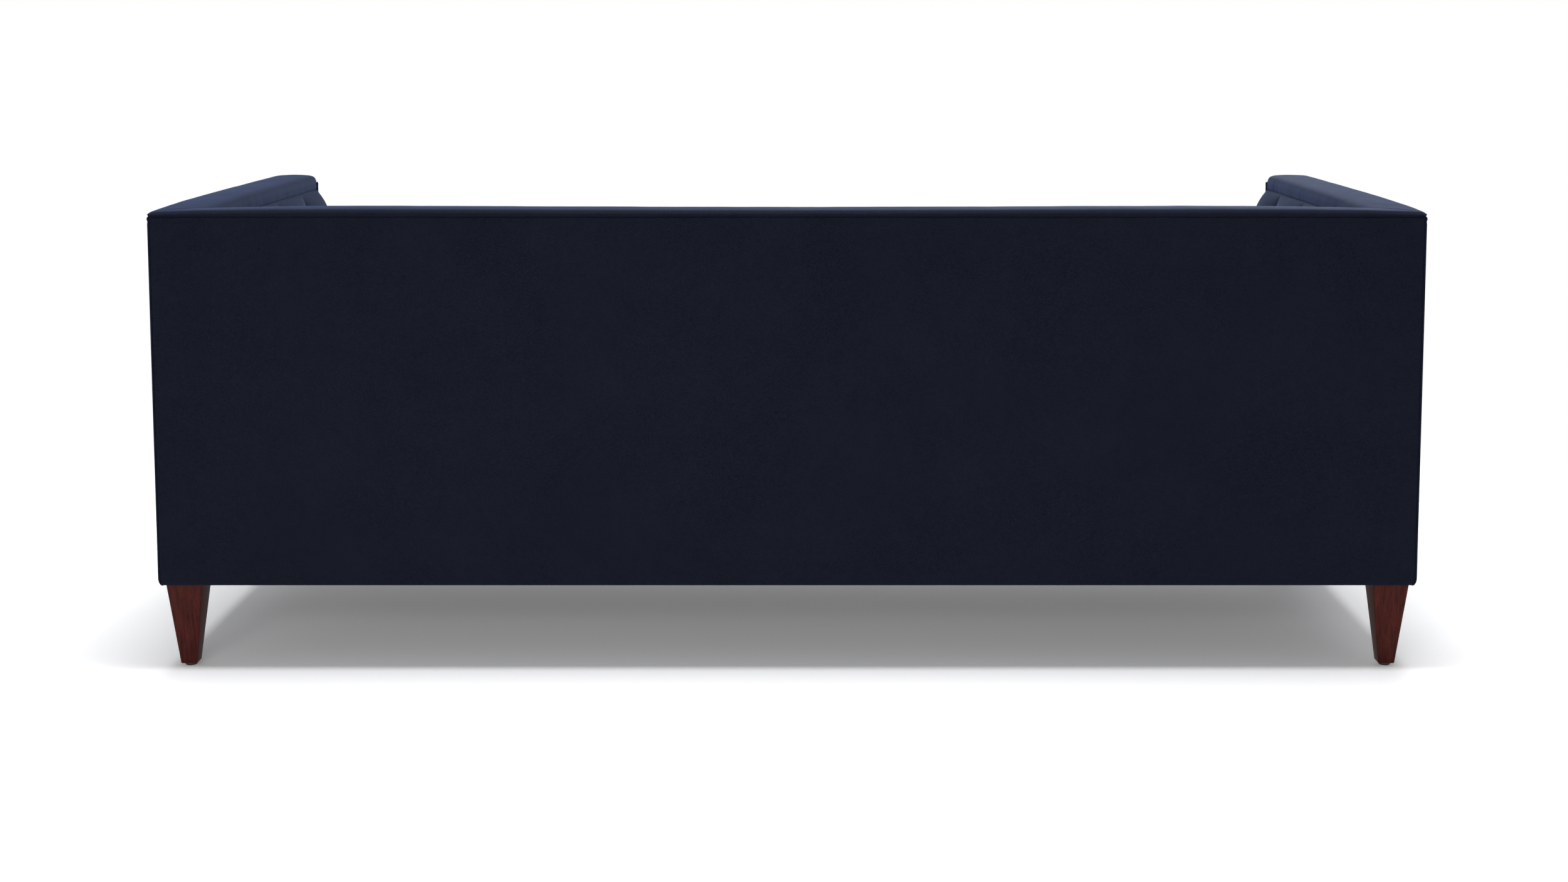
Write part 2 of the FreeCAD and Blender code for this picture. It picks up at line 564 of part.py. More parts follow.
def cushion(cx, skin):
    x0, x1 = cx - half_w + skin, cx + half_w - skin
    y0, y1 = front_y + skin, rear_y - skin
    z0, z1 = cushion_z + skin, cushion_z + CUSHION_T - skin
    b, c = CUSHION_BULGE, CUSHION_CROWN
    r = CUSHION_R - skin
    k = r * (1 - math.sqrt(0.5))

    def pillow(plane, c0, c1, a0, a1):
        a0, a1 = a0 - 1.5, a1 + 1.5
        zm, am = (z0 + z1) / 2, (a0 + a1) / 2
        return prism(plane, c0, c1, (a0 + b, z0 + c), (am, z0, a1 - b, z0 + c), (a1, zm, a1 - b, z1 - c),
                     (am, z1, a0 + b, z1 - c), (a0, zm, a0 + b, z0 + c))
    d = 4.0
    xm, ym = (x0 + x1) / 2, (y0 + y1) / 2
    plan = prism("xy", z0 - 1, z1 + 1, (x0 + d + r, y0 + d), (xm, y0, x1 - d - r, y0 + d),
                 (x1 - d - k, y0 + d + k, x1 - d, y0 + d + r), (x1, ym, x1 - d, y1 - d - r),
                 (x1 - d - k, y1 - d - k, x1 - d - r, y1 - d), (xm, y1, x0 + d + r, y1 - d),
                 (x0 + d + k, y1 - d - k, x0 + d, y1 - d - r), (x0, ym, x0 + d, y0 + d + r),
                 (x0 + d + k, y0 + d + k, x0 + d + r, y0 + d))
    shape = pillow("xz", y0 - 1, y1 + 1, x0, x1).common(pillow("yz", x0 - 1, x1 + 1, y0, y1))
    return shape.common(plan)


core_in = CUSHION_BULGE + CUSHION_SKIN
core_drop = CUSHION_CROWN + CUSHION_SKIN
for cx, name in ((pitch, "left"), (0.0, "centre"), (-pitch, "right")):
    x0, x1 = cx - half_w + core_in, cx + half_w - core_in
    y0, y1 = front_y + core_in, rear_y - core_in
    e = (CUSHION_R - core_in) * 0.6
    core = prism("xy", cushion_z + core_drop, cushion_z + CUSHION_T - core_drop, (x0 + e, y0), (x1 - e, y0),
                 (x1, y0 + e), (x1, y1 - e), (x1 - e, y1), (x0 + e, y1), (x0, y1 - e), (x0, y0 + e))
    parts["cushion_cover_" + name] = cushion(cx, 0.0).cut(core)
    parts["cushion_core_" + name] = core

for node, shape in parts.items():
    bad = not shape.isValid() or any(s.Volume <= 0 for s in shape.Solids) or not shape.Solids
    b = shape.BoundBox
    print(node, len(shape.Solids), "CHECK" if bad else "ok",
          [round(n, 1) for n in (b.XMin, b.XMax, b.YMin, b.YMax, b.ZMin, b.ZMax)])
    shape.exportStep("parts/%s.step" % node)
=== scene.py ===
import bmesh
import bpy
import json
import math
from mathutils import Euler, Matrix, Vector, noise


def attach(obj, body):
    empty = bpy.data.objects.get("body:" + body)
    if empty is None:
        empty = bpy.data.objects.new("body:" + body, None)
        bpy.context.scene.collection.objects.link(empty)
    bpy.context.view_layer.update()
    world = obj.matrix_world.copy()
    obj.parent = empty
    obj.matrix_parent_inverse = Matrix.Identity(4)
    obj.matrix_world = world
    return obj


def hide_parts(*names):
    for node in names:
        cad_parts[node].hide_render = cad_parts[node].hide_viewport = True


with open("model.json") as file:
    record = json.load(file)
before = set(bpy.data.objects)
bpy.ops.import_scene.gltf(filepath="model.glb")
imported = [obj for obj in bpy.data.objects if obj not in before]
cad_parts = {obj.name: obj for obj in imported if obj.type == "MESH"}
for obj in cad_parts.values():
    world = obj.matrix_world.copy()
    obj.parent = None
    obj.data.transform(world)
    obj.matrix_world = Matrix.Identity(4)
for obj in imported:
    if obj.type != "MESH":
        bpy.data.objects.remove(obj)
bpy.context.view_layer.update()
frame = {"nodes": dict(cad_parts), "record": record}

# Long velvet sofa with arms as high as its back, seen from behind. Sizes below are in mm, the scene is in
# metres: +X is the sitter's left, -Y the front, and the floor lies at z = 0.
MM = 0.001
HALF_X, HALF_Y, TOP = 1067.0, 432.0, 787.0
# Heights of the body's underside, of the outer seam under the cap, of the inside pads' seam and of the deck
BODY_Z, SEAM_Z, PAD_TOP, DECK_Z = 147.0, 775.0, 758.0, 311.0
# The inside of the back leans by this much
SLOPE = math.radians(7.7)
SIDES = ((1, "left"), (-1, "right"))

# Camera, at the photo's viewing angle. Its shift only sets where the sofa stands in the frame.
LOOKS_DOWN = 5.74
lens = bpy.data.cameras.new("camera")
lens.sensor_width = 36.0
lens.lens = 49.258
lens.shift_x, lens.shift_y = -0.018, -0.12
camera = bpy.data.objects.new("camera", lens)
camera.location = (-0.0419, 3.987, 1.0718)
camera.rotation_euler = Euler((math.radians(90 - LOOKS_DOWN), 0, math.pi))
bpy.context.scene.collection.objects.link(camera)
bpy.context.scene.camera = camera


# Materials

def linear(code):
    """An sRGB hex colour as linear RGBA."""
    values = [int(code[i:i + 2], 16) / 255 for i in (1, 3, 5)]
    return tuple(v / 12.92 if v <= 0.04045 else ((v + 0.055) / 1.055) ** 2.4 for v in values) + (1.0,)


def every(size):
    """Scale of a pattern with features of about this many mm, on Object coordinates in metres."""
    return 1000.0 / size


def add(tree, kind, inputs, output=0, **settings):
    """Adds a node with its settings and returns one of its outputs. An input takes a number, a colour or
    another node's output. In a Mix of colours, input 0 is the share, 6 and 7 are the colours, and output 2
    is the result."""
    made = tree.nodes.new("ShaderNode" + kind)
    for key, value in settings.items():
        setattr(made, key, value)
    for key, value in inputs.items():
        if isinstance(value, bpy.types.NodeSocket):
            tree.links.new(value, made.inputs[key])
        else:
            made.inputs[key].default_value = value
    return made.outputs[output] if made.outputs else None


def blank(name):
    """A new material, its empty node tree, and the Object coordinates in that."""
    finish = bpy.data.materials.new(name)
    finish.use_nodes = True
    tree = finish.node_tree
    tree.nodes.clear()
    return finish, tree, add(tree, "TexCoord", {}, "Object")


def cotton_velvet():
    """Woven cotton velvet, matte navy. Its cut pile leans this way and that, so it is mottled in soft
    patches of 20 to 150 mm, and it lights up where it is seen at a flat angle. The 0.4 mm pile is
    drawn at 1.6 mm so that it shows."""
    finish, tree, where = blank("navy_cotton_velvet")
    patches = add(tree, "TexNoise", {"Vector": where, "Scale": every(150), "Detail": 3.0, "Roughness": 0.6})
    crush = add(tree, "TexNoise", {"Vector": where, "Scale": every(22), "Detail": 4.0, "Roughness": 0.65})
    pile = add(tree, "TexNoise", {"Vector": where, "Scale": every(1.6), "Detail": 2.0, "Roughness": 0.6})
    lean = add(tree, "Math", {0: patches, 1: crush}, operation="ADD")
    lean = add(tree, "MapRange", {"Value": lean, "From Min": 0.75, "From Max": 1.28})
    fleck = add(tree, "MapRange", {"Value": pile, "From Min": 0.3, "From Max": 0.75})
    colour = add(tree, "Mix", {0: lean, 6: linear("#0e1016"), 7: linear("#151821")}, 2, data_type="RGBA")
    colour = add(tree, "Mix", {0: fleck, 6: colour, 7: linear("#1c202d")}, 2, data_type="RGBA")
    rough = add(tree, "MapRange", {"Value": crush, "From Min": 0.2, "From Max": 0.8,
                                   "To Min": 0.78, "To Max": 0.92})
    soft = add(tree, "Bump", {"Strength": 0.35, "Distance": 0.0006, "Height": crush})
    fine = add(tree, "Bump", {"Strength": 0.30, "Distance": 0.0003, "Height": pile, "Normal": soft})
    surface = add(tree, "BsdfPrincipled", {
        "Base Color": colour, "Roughness": rough, "Normal": fine, "Sheen Weight": 0.23,
        "Sheen Roughness": 0.34, "Sheen Tint": linear("#7f9ad8"), "IOR": 1.45, "Specular IOR Level": 0.03})
    add(tree, "OutputMaterial", {"Surface": surface})
    return finish


def stained_beech():
    """Beech, turned reddish brown by stain under satin lacquer: grain runs down the leg in bands of 5 mm,
    with short darker pores. These are drawn at 0.9 mm wide, wider than real ones, so that they show."""
    finish, tree, where = blank("stained_beech")
    down = add(tree, "Mapping", {"Vector": where, "Scale": (every(5), every(5), every(90))})
    grain = add(tree, "TexNoise", {"Vector": down, "Scale": 1.0, "Detail": 5.0, "Roughness": 0.6,
                                   "Distortion": 0.6})
    down = add(tree, "Mapping", {"Vector": where, "Scale": (every(0.9), every(0.9), every(14))})
    pores = add(tree, "TexNoise", {"Vector": down, "Scale": 1.0, "Detail": 2.0})
    bands = add(tree, "MapRange", {"Value": grain, "From Min": 0.32, "From Max": 0.7})
    darker = add(tree, "MapRange", {"Value": pores, "From Min": 0.6, "From Max": 0.78})
    colour = add(tree, "Mix", {0: bands, 6: linear("#2e110d"), 7: linear("#52211a")}, 2, data_type="RGBA")
    colour = add(tree, "Mix", {0: darker, 6: colour, 7: linear("#240d0a")}, 2, data_type="RGBA")
    rough = add(tree, "MapRange", {"Value": grain, "From Min": 0.2, "From Max": 0.8,
                                   "To Min": 0.34, "To Max": 0.46})
    bump = add(tree, "Bump", {"Strength": 0.2, "Distance": 0.0002, "Height": pores})
    surface = add(tree, "BsdfPrincipled", {
        "Base Color": colour, "Roughness": rough, "Normal": bump, "Coat Weight": 0.02,
        "Coat Roughness": 0.25, "IOR": 1.45, "Specular IOR Level": 0.08})
    add(tree, "OutputMaterial", {"Surface": surface})
    return finish


def planed_pine():
    """Sawn and planed pine of the hidden frame: pale and matte, with grain in bands of 8 mm that lie along
    the rails."""
    finish, tree, where = blank("planed_pine")
    along = add(tree, "Mapping", {"Vector": where, "Scale": (every(60), every(60), every(8))})
    grain = add(tree, "TexNoise", {"Vector": along, "Scale": 1.0, "Detail": 4.0, "Distortion": 0.4})
    bands = add(tree, "MapRange", {"Value": grain, "From Min": 0.3, "From Max": 0.7})
    colour = add(tree, "Mix", {0: bands, 6: linear("#c39b6b"), 7: linear("#e0bd8c")}, 2, data_type="RGBA")
    rough = add(tree, "MapRange", {"Value": grain, "From Min": 0.2, "From Max": 0.8,
                                   "To Min": 0.6, "To Max": 0.75})
    bump = add(tree, "Bump", {"Strength": 0.2, "Distance": 0.0004, "Height": grain})
    surface = add(tree, "BsdfPrincipled", {"Base Color": colour, "Roughness": rough, "Normal": bump,
                                           "IOR": 1.5})
    add(tree, "OutputMaterial", {"Surface": surface})
    return finish


def moulded_nylon():
    """Moulded nylon of the glides: near black, with the fine grain of the mould and scuffs of 3 mm."""
    finish, tree, where = blank("black_moulded_nylon")
    grit = add(tree, "TexNoise", {"Vector": where, "Scale": every(0.8), "Detail": 2.0})
    scuff = add(tree, "TexNoise", {"Vector": where, "Scale": every(3), "Detail": 4.0})
    worn = add(tree, "MapRange", {"Value": scuff, "From Min": 0.4, "From Max": 0.8})
    colour = add(tree, "Mix", {0: worn, 6: linear("#0c0c0d"), 7: linear("#1c1c1e")}, 2, data_type="RGBA")
    rough = add(tree, "MapRange", {"Value": scuff, "From Min": 0.3, "From Max": 0.7,
                                   "To Min": 0.45, "To Max": 0.62})
    bump = add(tree, "Bump", {"Strength": 0.25, "Distance": 0.0001, "Height": grit})
    surface = add(tree, "BsdfPrincipled", {"Base Color": colour, "Roughness": rough, "Normal": bump,
                                           "IOR": 1.53})
    add(tree, "OutputMaterial", {"Surface": surface})
    return finish


def zinc_plate():
    """Zinc-plated steel of the springs and bolts: greyish, uneven in gloss over patches of 4 mm."""
    finish, tree, where = blank("zinc_plated_steel")
    patch = add(tree, "TexNoise", {"Vector": where, "Scale": every(4), "Detail": 3.0})
    tone = add(tree, "MapRange", {"Value": patch, "From Min": 0.3, "From Max": 0.7})
    colour = add(tree, "Mix", {0: tone, 6: linear("#8f9191"), 7: linear("#b5b6b2")}, 2, data_type="RGBA")
    rough = add(tree, "MapRange", {"Value": patch, "From Min": 0.2, "From Max": 0.8,
                                   "To Min": 0.28, "To Max": 0.45})
    bump = add(tree, "Bump", {"Strength": 0.1, "Distance": 0.0001, "Height": patch})
    surface = add(tree, "BsdfPrincipled", {"Base Color": colour, "Roughness": rough, "Normal": bump,
                                           "Metallic": 1.0})
    add(tree, "OutputMaterial", {"Surface": surface})
    return finish


def woven(name, low, high, thread):
    """Plain-woven cloth, matte: two sets of threads that cross, thread mm apart, in patches of 60 mm that
    are a little darker."""
    finish, tree, where = blank(name)
    # a wave of scale 1 turns by 20 radians a metre, and it turns half way round in each thread
    scale = every(thread) / 20 * 3.14
    threads = {"Vector": where, "Scale": scale, "Distortion": 0.6, "Detail": 1.0}
    warp, weft = (add(tree, "TexWave", threads, 1, bands_direction=axis) for axis in "XY")
    weave = add(tree, "Math", {0: warp, 1: weft}, operation="MULTIPLY")
    patches = add(tree, "TexNoise", {"Vector": where, "Scale": every(60), "Detail": 3.0})
    crossing = add(tree, "MapRange", {"Value": weave, "From Min": 0.0, "From Max": 0.8})
    darker = add(tree, "MapRange", {"Value": patches, "From Min": 0.45, "From Max": 1.0})
    colour = add(tree, "Mix", {0: crossing, 6: linear(low), 7: linear(high)}, 2, data_type="RGBA")
    colour = add(tree, "Mix", {0: darker, 6: colour, 7: linear(low)}, 2, data_type="RGBA")
    rough = add(tree, "MapRange", {"Value": patches, "From Min": 0.2, "From Max": 0.8,
                                   "To Min": 0.82, "To Max": 0.94})
    bump = add(tree, "Bump", {"Strength": 0.4, "Distance": 0.0003, "Height": weave})
    surface = add(tree, "BsdfPrincipled", {
        "Base Color": colour, "Roughness": rough, "Normal": bump, "Sheen Weight": 0.1, "IOR": 1.45,
        "Specular IOR Level": 0.2})
    add(tree, "OutputMaterial", {"Surface": surface})
    return finish


def spongy(name, low, high, cell):
    """Open-celled foam or pressed felt: irregular cells or tufts, cell mm wide, in two close tones."""
    finish, tree, where = blank(name)
    cells = add(tree, "TexVoronoi", {"Vector": where, "Scale": every(cell)})
    tone = add(tree, "TexNoise", {"Vector": where, "Scale": every(40), "Detail": 3.0})
    tone = add(tree, "MapRange", {"Value": tone, "From Min": 0.3, "From Max": 0.7})
    colour = add(tree, "Mix", {0: tone, 6: linear(low), 7: linear(high)}, 2, data_type="RGBA")
    rough = add(tree, "MapRange", {"Value": cells, "To Min": 0.85, "To Max": 0.95})
    bump = add(tree, "Bump", {"Strength": 0.5, "Distance": 0.0006, "Height": cells})
    surface = add(tree, "BsdfPrincipled", {"Base Color": colour, "Roughness": rough, "Normal": bump,
                                           "IOR": 1.45})
    add(tree, "OutputMaterial", {"Surface": surface})
    return finish


VELVET = cotton_velvet()
BEECH = stained_beech()
NYLON = moulded_nylon()
# Black cambric is a thin plain-woven cotton, dull and nearly black, drawn at 2 mm a thread. Deck cloth is a
# stout cotton, dyed bluer than the velvet and without its pile.
CAMBRIC = woven("black_cambric", "#0b0b0c", "#1d1d20", 2.0)
DECK_CLOTH = woven("navy_deck_cloth", "#141b2c", "#27334e", 2.4)
# Jute webbing is of coarse brown yarn, the felt of grey tufts, and the foam of cream-coloured cells
by_slot = {
    "navy_velvet": VELVET, "stained_hardwood": BEECH, "frame_timber": planed_pine(), "black_nylon": NYLON,
    "plated_steel": zinc_plate(), "jute_webbing": woven("jute_webbing", "#7c5f38", "#b8955f", 3.0),
    "grey_felt": spongy("grey_needle_felt", "#5b5c5e", "#77787a", 2.5), "black_cambric": CAMBRIC,
    "seat_foam": spongy("polyether_foam", "#d8cfa9", "#e8e0c0", 1.6), "deck_cloth": DECK_CLOTH}
for part in frame["record"]["subparts"]:
    node = frame["nodes"].get(part["node"])
    if node is not None:
        node.data.materials.clear()
        node.data.materials.append(by_slot[part["material_slot"]])


# Making pieces

def piece(name, bm, finish, nodes=(), body="sofa", crease=50, subdivide=0):
    """Turns a bmesh in mm into a piece that rides on a body and stands for CAD nodes. Edges that bend by
    more than crease degrees look sharp, and with a crease of 0 none do."""
    bmesh.ops.scale(bm, vec=(MM, MM, MM), verts=bm.verts)
    mesh = bpy.data.meshes.new(name)
    bm.to_mesh(mesh)
    bm.free()
    mesh.materials.append(finish)
    for polygon in mesh.polygons:
        polygon.use_smooth = True
    if crease:
        mesh.set_sharp_from_angle(angle=math.radians(crease))
    made = bpy.data.objects.new(name, mesh)
    bpy.context.scene.collection.objects.link(made)
    if subdivide:
        smoother = made.modifiers.new("smoother", "SUBSURF")
        smoother.levels = smoother.render_levels = subdivide
    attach(made, body)
    if nodes:
        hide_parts(*nodes)
    return made


def waver(x, y, z, size):
    """Smooth noise from -1 to 1 with features of about size mm."""
    return noise.noise(Vector((x, y, z)) / size)


def lines(low, high, step, fine=()):
    """Grid lines from low to high about step apart, and extra ones at the distances fine from both ends."""
    fine = [d for d in fine if 2 * d < high - low]
    first = low + (fine[-1] if fine else 0)
    last = high - (fine[-1] if fine else 0)
    count = max(1, round((last - first) / step))
    middle = [first + (last - first) * i / count for i in range(count + 1)]
    near_ends = [low, high] + [low + d for d in fine] + [high - d for d in fine]
    return sorted({round(v, 3) for v in near_ends + middle})


# Distances of the extra lines where a cloth turns over an edge
EDGE = (0.3, 0.8, 1.5, 2.5, 4.0, 6.0, 8.5, 12.0, 17.0, 24.0)


def cloth_grid(columns, rows, place):
    """A grid with a line at each column and row. place takes a column and a row to a point."""
    bm = bmesh.new()
    across, along = len(columns) - 1, len(rows) - 1
    bmesh.ops.create_grid(bm, x_segments=across, y_segments=along, size=0.5)
    assert len(bm.verts) == (across + 1) * (along + 1)
    for vert in bm.verts:
        i = round((vert.co.x + 0.5) * across)
        j = round((vert.co.y + 0.5) * along)
        vert.co = place(columns[i], rows[j])
    return bm


def close_behind(bm, wall):
    """Folds the rim of a cloth back to a wall and closes it there."""
    rim = [e for e in bm.edges if e.is_boundary]
    grown = bmesh.ops.extrude_edge_only(bm, edges=rim)["geom"]
    for vert in [g for g in grown if isinstance(g, bmesh.types.BMVert)]:
        vert.co = wall(vert.co)
    bmesh.ops.contextual_create(bm, geom=[e for e in bm.edges if e.is_boundary])
    bmesh.ops.recalc_face_normals(bm, faces=bm.faces)
    return bm


def eased(distance, radius):
    """How far a rounded edge has fallen back at a distance from the edge."""
    if distance >= radius:
        return 0.0
    return radius - math.sqrt(max(radius ** 2 - (radius - max(distance, 0)) ** 2, 0))


def between(value, low, high):
    """A smooth step from 0 at low to 1 at high."""
    t = min(max((value - low) / (high - low), 0), 1)
    return t * t * (3 - 2 * t)


# Outside covers

def cover_stops(points, radius, step):
    """Places along a line in plan, each with its outward side and its distance from both ends. A line of
    three points is rounded at the middle one."""
    if len(points) == 3:
        (ax, ay), (bx, by), (cx, cy) = points
        u = Vector((ax - bx, ay - by)).normalized()
        w = Vector((cx - bx, cy - by)).normalized()
        start, end = Vector((bx, by)) + u * radius, Vector((bx, by)) + w * radius
        centre = start + w * radius
        first = Vector((ax, ay))
        run = (start - first).length
        track = [first + (start - first) * d / run for d in lines(0, run, step, EDGE[:6])]
        parts = 8
        for i in range(1, parts + 1):
            turn = math.pi / 2 * i / parts
            track.append(centre - w * radius * math.cos(turn) - u * radius * math.sin(turn))
        rest = (Vector((cx, cy)) - end).length
        track += [end + w * d for d in lines(0, rest, 1.0, EDGE[:3])[1:]]
    else:
        first, last = Vector(points[0]), Vector(points[1])
        run = (last - first).length
        track = [first + (last - first) * d / run for d in lines(0, run, step, EDGE)]
    out, gone = [], 0.0
    for i, spot in enumerate(track):
        before, after = track[max(i - 1, 0)], track[min(i + 1, len(track) - 1)]
        way = (after - before).normalized()
        gone += (spot - before).length if i else 0.0
        out.append((spot.x, spot.y, way.y, -way.x, gone))
    total = out[-1][4]
    return [(x, y, nx, ny, d, total - d) for x, y, nx, ny, d in out]


# Rounding of a cover's corner in plan, and how far its cloth may fall back, short of the wall behind it
COVER_CORNER, DEEPEST = 4.0, 7.2


def cover(name, points, low, high, wall, nodes, edges=(7.0, 2.4, 2.6, 2.6), side=1):
    """A cover stretched from low to high over a line in plan. edges are the roundings at its bottom, top,
    start and end, and side is -1 for the mirror image."""
    foot, head, start, end = edges

    def place(stop, z):
        x, y, nx, ny, d, left = stop
        back = eased((z - low) / 2, foot) + eased(high - z, head) + eased(d, start) + eased(left, end)
        # a faint crease runs 9 mm under the seam of the cap, deeper in some stretches than in others, and
        # between the two the cloth rolls out
        crease = 0.55 + 0.45 * waver(x * side, y + 40, 3, 230)
        back += crease * 0.9 * math.exp(-((high - z - 9) / 1.6) ** 2)
        back -= 0.8 * math.exp(-((high - z - 4.4) / 1.8) ** 2)
        tight = min(1.0, (z - low) / 40, (high - z) / 40, d / 40, left / 40)
        swell = 0.5 * waver(x * side, y, z, 170) + 0.25 * waver(x * side, y + 90, z, 60)
        swell = swell * max(tight, 0) - 0.15
        # small puckers where the cloth is stapled under the frame and sewn to the cap
        pull = 0.35 * math.exp(-(z - low) / 14) * waver(x * side, y, 5, 16)
        pull += 0.3 * math.exp(-(high - z) / 9) * waver(x * side, y, 77, 12)
        back = min(back - swell - pull, DEEPEST)
        return Vector(((x - nx * back) * side, y - ny * back, z))
    bm = cloth_grid(cover_stops(points, COVER_CORNER, 13), lines(low, high, 13, EDGE), place)
    piece(name, close_behind(bm, wall), VELVET, nodes, crease=60)


# The covers' outer faces, 1 mm inside the sofa's outermost size, and the walls behind them
FACE_X, FACE_Y = 1066.0, 431.0
WALL_X, WALL_Y = 1058.2, 423.2
# Ends of the covers: back and arm meet in a seam at each rear corner, the front border meets the facings,
# and the arm covers meet the facings beside the front edge
BACK_END, ARM_REAR_END = 1061.2, 1061.8
BORDER_END, FACING_END = 975.7, 976.4
ARM_FRONT_END, FACING_SIDE_END = -422.8, -423.3

cover("outside_back_cloth", [(BACK_END, FACE_Y), (-BACK_END, FACE_Y)], BODY_Z, SEAM_Z,
      lambda p: Vector((p.x, WALL_Y, p.z)), ["outside_back_panel"])
cover("front_border_cloth", [(-BORDER_END, -FACE_Y), (BORDER_END, -FACE_Y)], BODY_Z, DECK_Z,
      lambda p: Vector((p.x, -WALL_Y, p.z)), ["front_border"], edges=(7.0, 6.0, 2.6, 2.6))
for side, word in SIDES:
    cover("outside_arm_cloth_" + word, [(FACE_X, ARM_FRONT_END), (FACE_X, FACE_Y), (ARM_REAR_END, FACE_Y)],
          BODY_Z, SEAM_Z, lambda p, s=side: Vector((WALL_X * s, min(p.y, FACE_Y - 1), p.z)),
          ["outside_arm_panel_" + word], side=side)
    cover("front_facing_cloth_" + word,
          [(FACING_END, -FACE_Y), (FACE_X, -FACE_Y), (FACE_X, FACING_SIDE_END)], BODY_Z, SEAM_Z,
          lambda p: Vector((p.x, -WALL_Y, p.z)), ["arm_front_facing_" + word], side=side)

# Padded cap: (distance from the outer face, drop from the crown) round its section. Its outer seam is drawn
# at DRAWN_SEAM_Z and lifted to SEAM_Z, where the outside covers end.
CAP_LINE = [(3.4, 16.0), (1.3, 15.3), (0.2, 13.2), (0.0, 9.6), (2.7, 4.0), (9.5, 1.5), (25, 0.4), (44, 0.0),
            (63, 0.6), (76, 2.0), (84.0, 5.8), (87.5, 12.5), (88.0, 19), (87.9, 24.3), (86.6, 27.5),
            (84.2, 28.2), (82.3, 26.8), (82.0, 21), (81.5, 15.9), (56, 15.6), (28, 15.6)]
DRAWN_SEAM_Z = 771.5
CAP_CENTRE = Vector((44, 12.4))


def smooth_loop(points, parts):
    """A closed curve through points, parts steps from each to the next."""
    out, count = [], len(points)
    for i in range(count):
        a, b, c, d = (Vector(points[(i + k) % count]) for k in (-1, 0, 1, 2))
        for k in range(parts):
            t = k / parts
            out.append(0.5 * (2 * b + (c - a) * t + (2 * a - 5 * b + 4 * c - d) * t ** 2
                              + (3 * b - a - 3 * c + d) * t ** 3))
    return out


CAP_RING = smooth_loop(CAP_LINE, 3)
CAP_RING.append(CAP_RING[0])
# Roundings of the cap in plan: its outer edge at the rear corners, and its ends over the front facings
CAP_CORNER, NOSE = 10, 9.0
# Distances of the columns next to the mitre; from the last on they are even
MITRE_COLUMNS = [0.0, 0.5, 1.1, 1.8, 2.8, 4.2, 6, 8, 11, 15, 19, 24]
RUN_BACK = HALF_X - CAP_CORNER
RUN_ARM = 2 * HALF_Y - CAP_CORNER


def round_the_corner(s, d):
    """(along, out) from the centre of the corner's rounding, d mm from the mitre on the line s mm in."""
    r = max(CAP_CORNER - s, 0.0)
    arc = r * math.pi / 4
    if d < arc:
        turn = math.pi / 4 - d / r
        return r * math.sin(turn), r * math.cos(turn)
    return (arc - d if s < CAP_CORNER else CAP_CORNER - s - d), CAP_CORNER - s


def cap_stop(ring, d, run, inset=0.0, dip=0.0, seed=0.0):
    """A point of the cap, as (along, out, z): ring is its place on the section and d its distance from the
    mitre on a run. inset shrinks the section at a rounded end, and dip lowers the crown."""
    s, drop = ring
    if inset:
        s = CAP_CENTRE.x + (s - CAP_CENTRE.x) * (1 - 0.4 * inset / CAP_CENTRE.x)
        drop = drop + inset * max(0, 1 - drop / 15.4)
    # swell of the padding, the pull of the mitre seam, and small gathers along both seams
    middle = CAP_CENTRE - Vector((s, drop))
    far = middle.length
    middle = middle / far if far else middle
    swell = 0.75 * waver(d + seed, s, drop, 95) + 0.35 * waver(d + seed, s, drop, 34)
    swell -= 1.5 * math.exp(-(d / 2.2) ** 2) + 0.8 * math.exp(-(d / 9) ** 2)
    if drop > 6:
        swell += 0.45 * waver(d + seed, s, 40, 11) * min(1, (drop - 6) / 6)
    swell *= min(1, far / 12)
    s2, drop2 = s - middle.x * swell, drop - middle.y * swell
    # the crown stands fuller away from the mitre, and the outer seam is lifted
    crown = 1 - between(drop, 4, 14)
    drop2 += crown * (dip + 2.6 - 6.0 * (1 - math.exp(-d / 160)))
    drop2 -= (1 - crown) * (SEAM_Z - DRAWN_SEAM_Z) * (1 - between(s, 40, 80))
    # the line at s2 is longer or shorter than the run, and the even columns share that out
    length = run + (CAP_CORNER - s2) * (1 if s2 >= CAP_CORNER else math.pi / 4)
    near = MITRE_COLUMNS[-1]
    if d > near:
        d = near + (d - near) * (length - near) / (run - near)
    along, out = round_the_corner(s2, d)
    return along, out, TOP - drop2


def cap_skin(columns, place):
    """A closed skin along the columns, round the cap's section, with its ends filled."""
    bm = cloth_grid(columns, list(range(len(CAP_RING))), lambda c, j: place(c, CAP_RING[j]))
    bmesh.ops.remove_doubles(bm, verts=bm.verts, dist=0.0004)
    bmesh.ops.holes_fill(bm, edges=[e for e in bm.edges if e.is_boundary], sides=0)
    bmesh.ops.recalc_face_normals(bm, faces=bm.faces)
    return bm


def back_cap_point(column, ring):
    """A point of the back cap, whose crown sags by 3.4 mm towards its middle."""
    side, d = column
    sag = 3.4 * math.sin(math.pi / 2 * min(1, d / RUN_BACK)) ** 2
    along, out, z = cap_stop(ring, d, RUN_BACK, dip=sag, seed=300 * side)
    return Vector((side * (RUN_BACK + along), HALF_Y - CAP_CORNER + out, z))


def arm_cap_point(column, ring, side):
    """A point of an arm cap, which narrows at its rounded front end."""
    d, inset = column
    along, out, z = cap_stop(ring, d, RUN_ARM, inset, seed=900 * side)
    return Vector((side * (HALF_X - CAP_CORNER + out), HALF_Y - CAP_CORNER + along, z))


half_run = MITRE_COLUMNS[:-1] + lines(MITRE_COLUMNS[-1], RUN_BACK, 10)
back_columns = [(1, d) for d in half_run] + [(-1, d) for d in reversed(half_run[:-1])]
piece("back_cap_cloth", cap_skin(back_columns, back_cap_point), VELVET, ["back_cap"], crease=62)

